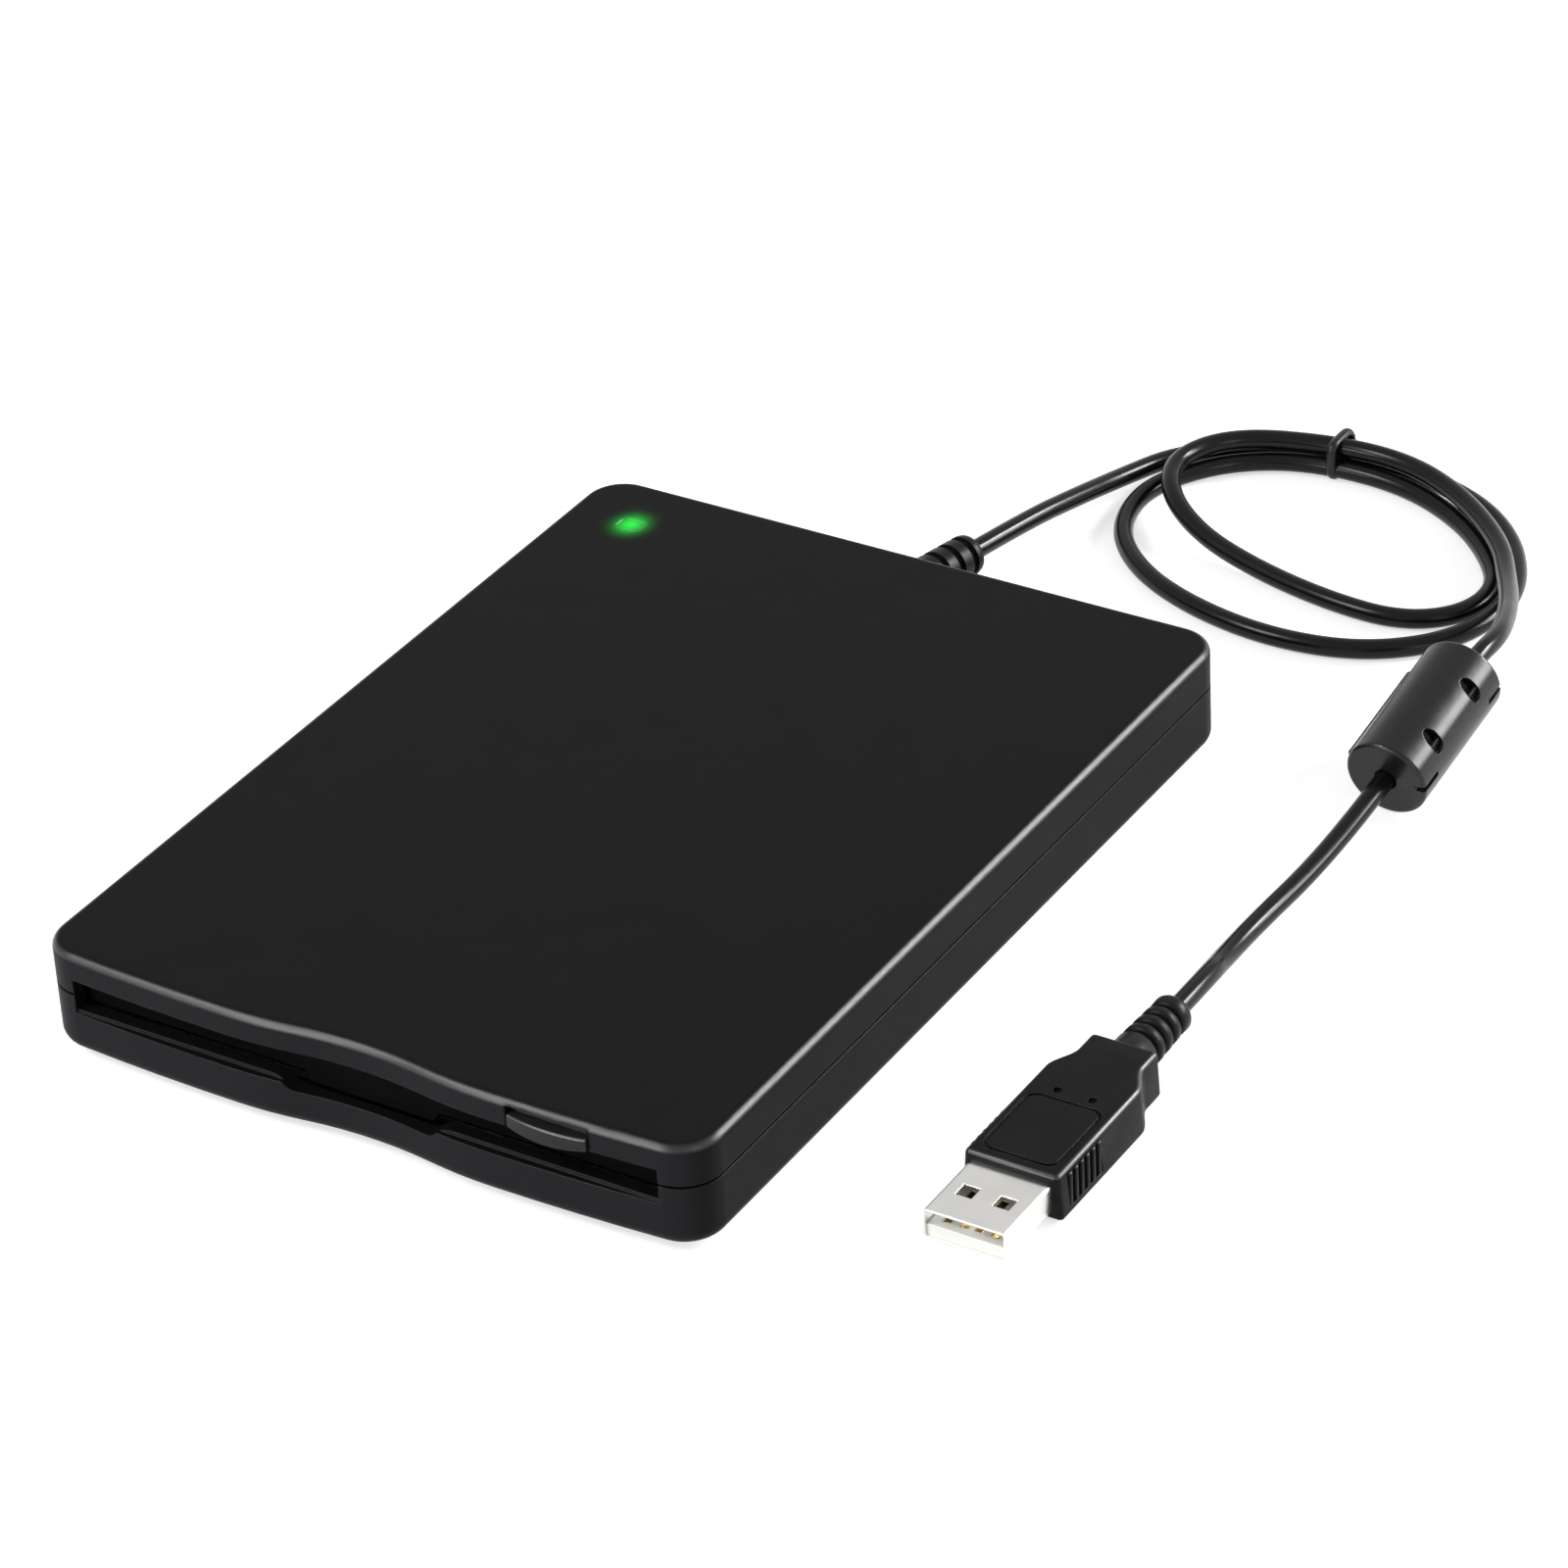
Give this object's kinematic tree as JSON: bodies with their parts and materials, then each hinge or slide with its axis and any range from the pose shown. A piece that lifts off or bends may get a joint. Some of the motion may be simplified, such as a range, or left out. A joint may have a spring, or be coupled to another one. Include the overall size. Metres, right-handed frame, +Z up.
{
  "type": "external floppy disk drive",
  "caption": "Slim external drive for 3.5 inch floppy disks: black plastic case, slot with dust flap, eject button, moulded cable with ferrite clamp and flat plug.",
  "frame": {"origin": "on the table, under the middle of the case", "axes": "+X to the right of someone who faces the disk slot, +Y from the slot to the back, +Z up"},
  "size_m": [0.1404, 0.2223, 0.017],
  "materials": {
    "case_plastic": "fine satin texture",
    "button_plastic": "satin",
    "flap_plastic": "matt",
    "foot_rubber": "matt",
    "screw_steel": "zinc plated",
    "mechanism_steel": "plated sheet",
    "carriage_resin": "glass-filled",
    "head_ceramic": "polished",
    "magnet_ferrite": "matt",
    "copper_wire": "enamelled",
    "board_green": "solder mask",
    "chip_black": "matt",
    "ribbon_film": "film",
    "light_green": "clear",
    "cord_jacket": "glossy",
    "boot_rubber": "satin",
    "clamp_plastic": "fine texture",
    "core_ferrite": "matt",
    "plug_plastic": "matt",
    "plug_nickel": "bright nickel",
    "plug_white": "satin",
    "contact_gold": "gold plated",
    "tie_black": "coated wire"
  },
  "bodies": {
    "drive": {"top_shell": "case_plastic", "bottom_shell": "case_plastic", "rubber_feet": "foot_rubber", "case_screws": "screw_steel", "chassis_frame": "mechanism_steel", "cover_plate": "mechanism_steel", "spindle_bearing": "contact_gold", "stator_core": "screw_steel", "stator_coils": "copper_wire", "motor_board": "board_green", "guide_rods": "screw_steel", "stepper_motor": "mechanism_steel", "motor_bracket": "mechanism_steel", "disk_in_switch": "chip_black", "write_protect_switch": "chip_black", "slider_springs": "screw_steel", "controller_board": "board_green", "controller_chips": "chip_black", "bridge_board": "board_green", "bridge_parts": "chip_black", "cable_connector": "plug_white", "ribbon_cable": "ribbon_film", "status_led": "light_green", "light_pipe": "light_green", "cable_boot": "boot_rubber", "boot_neck": "boot_rubber", "cable_tie": "tie_black", "cord_to_turns": "cord_jacket", "cord_turn_one": "cord_jacket", "cord_turn_two": "cord_jacket", "cord_over_turns": "cord_jacket", "cord_to_plug": "cord_jacket", "clamp_lower_shell": "clamp_plastic", "clamp_lower_core": "core_ferrite", "plug_grip": "plug_plastic", "plug_boot": "boot_rubber", "plug_shell": "plug_nickel", "plug_insulator": "plug_white", "plug_contacts": "contact_gold"},
    "slider": {"eject_slider": "mechanism_steel", "eject_button": "button_plastic"},
    "holder": {"disk_holder": "mechanism_steel", "lever_pin": "screw_steel"},
    "lever": {"shutter_lever": "carriage_resin"},
    "flap": {"dust_flap": "flap_plastic"},
    "spindle": {"spindle_rotor": "mechanism_steel", "rotor_magnet": "magnet_ferrite"},
    "carriage": {"head_carriage": "carriage_resin", "lower_head": "head_ceramic", "arm_pin": "screw_steel"},
    "upper_arm": {"upper_head_arm": "mechanism_steel", "upper_head": "head_ceramic"},
    "screw": {"lead_screw": "screw_steel"},
    "disk_in_button": {"disk_in_plunger": "plug_white"},
    "write_protect_button": {"write_protect_plunger": "plug_white"},
    "clamp_cover": {"clamp_upper_shell": "clamp_plastic", "clamp_upper_core": "core_ferrite"}
  },
  "joints": [
    {"name": "eject_slide", "type": "slide", "parent": "drive", "child": "slider", "axis": [0, 1, 0], "range_m": [-0.005, 0], "deforming": ["slider_springs"]},
    {"name": "holder_drop", "type": "slide", "parent": "drive", "child": "holder", "axis": [0, 0, 1], "range_m": [-0.002, 0]},
    {"name": "lever_turn", "type": "hinge", "parent": "holder", "child": "lever", "pos_m": [-0.024, 0.031, 0.0124], "axis": [0, 0, 1], "range_deg": [0, 95], "stiffness_Nm_per_rad": 0.0002, "springref_deg": -17.19},
    {"name": "flap_hinge", "type": "hinge", "parent": "drive", "child": "flap", "pos_m": [0, -0.0668, 0.0134], "axis": [1, 0, 0], "range_deg": [0, 85], "stiffness_Nm_per_rad": 0.00005, "springref_deg": -17.19},
    {"name": "spindle_turn", "type": "hinge", "parent": "drive", "child": "spindle", "pos_m": [0, -0.02, 0.006], "axis": [0, 0, 1], "continuous": true},
    {"name": "head_travel", "type": "slide", "parent": "drive", "child": "carriage", "axis": [0, 1, 0], "range_m": [-0.0148, 0]},
    {"name": "screw_turn", "type": "hinge", "parent": "drive", "child": "screw", "pos_m": [0.024, 0.04, 0.0074], "axis": [0, 1, 0], "range_deg": [-1800, 0]},
    {"name": "head_arm_tilt", "type": "hinge", "parent": "carriage", "child": "upper_arm", "pos_m": [0, 0.045, 0.0136], "axis": [1, 0, 0], "range_deg": [0, 9.5]},
    {"name": "disk_in_press", "type": "slide", "parent": "drive", "child": "disk_in_button", "axis": [0, 0, 1], "range_m": [-0.0012, 0], "stiffness_N_per_m": 20, "springref_m": 0.0004},
    {"name": "write_protect_press", "type": "slide", "parent": "drive", "child": "write_protect_button", "axis": [0, 0, 1], "range_m": [-0.0012, 0], "stiffness_N_per_m": 20, "springref_m": 0.0004},
    {"name": "clamp_hinge", "type": "hinge", "parent": "drive", "child": "clamp_cover", "pos_m": [0.0755, 0.08627, 0.0109], "axis": [-0.0254, -0.9792, -0.2013], "range_deg": [0, 120]}
  ],
  "couplings": [
    {"joint": "holder_drop", "follows": "eject_slide", "ratio": 0.4},
    {"joint": "head_arm_tilt", "follows": "eject_slide", "rad_per_m": -33.16},
    {"joint": "screw_turn", "follows": "head_travel", "rad_per_m": 2094.4}
  ]
}
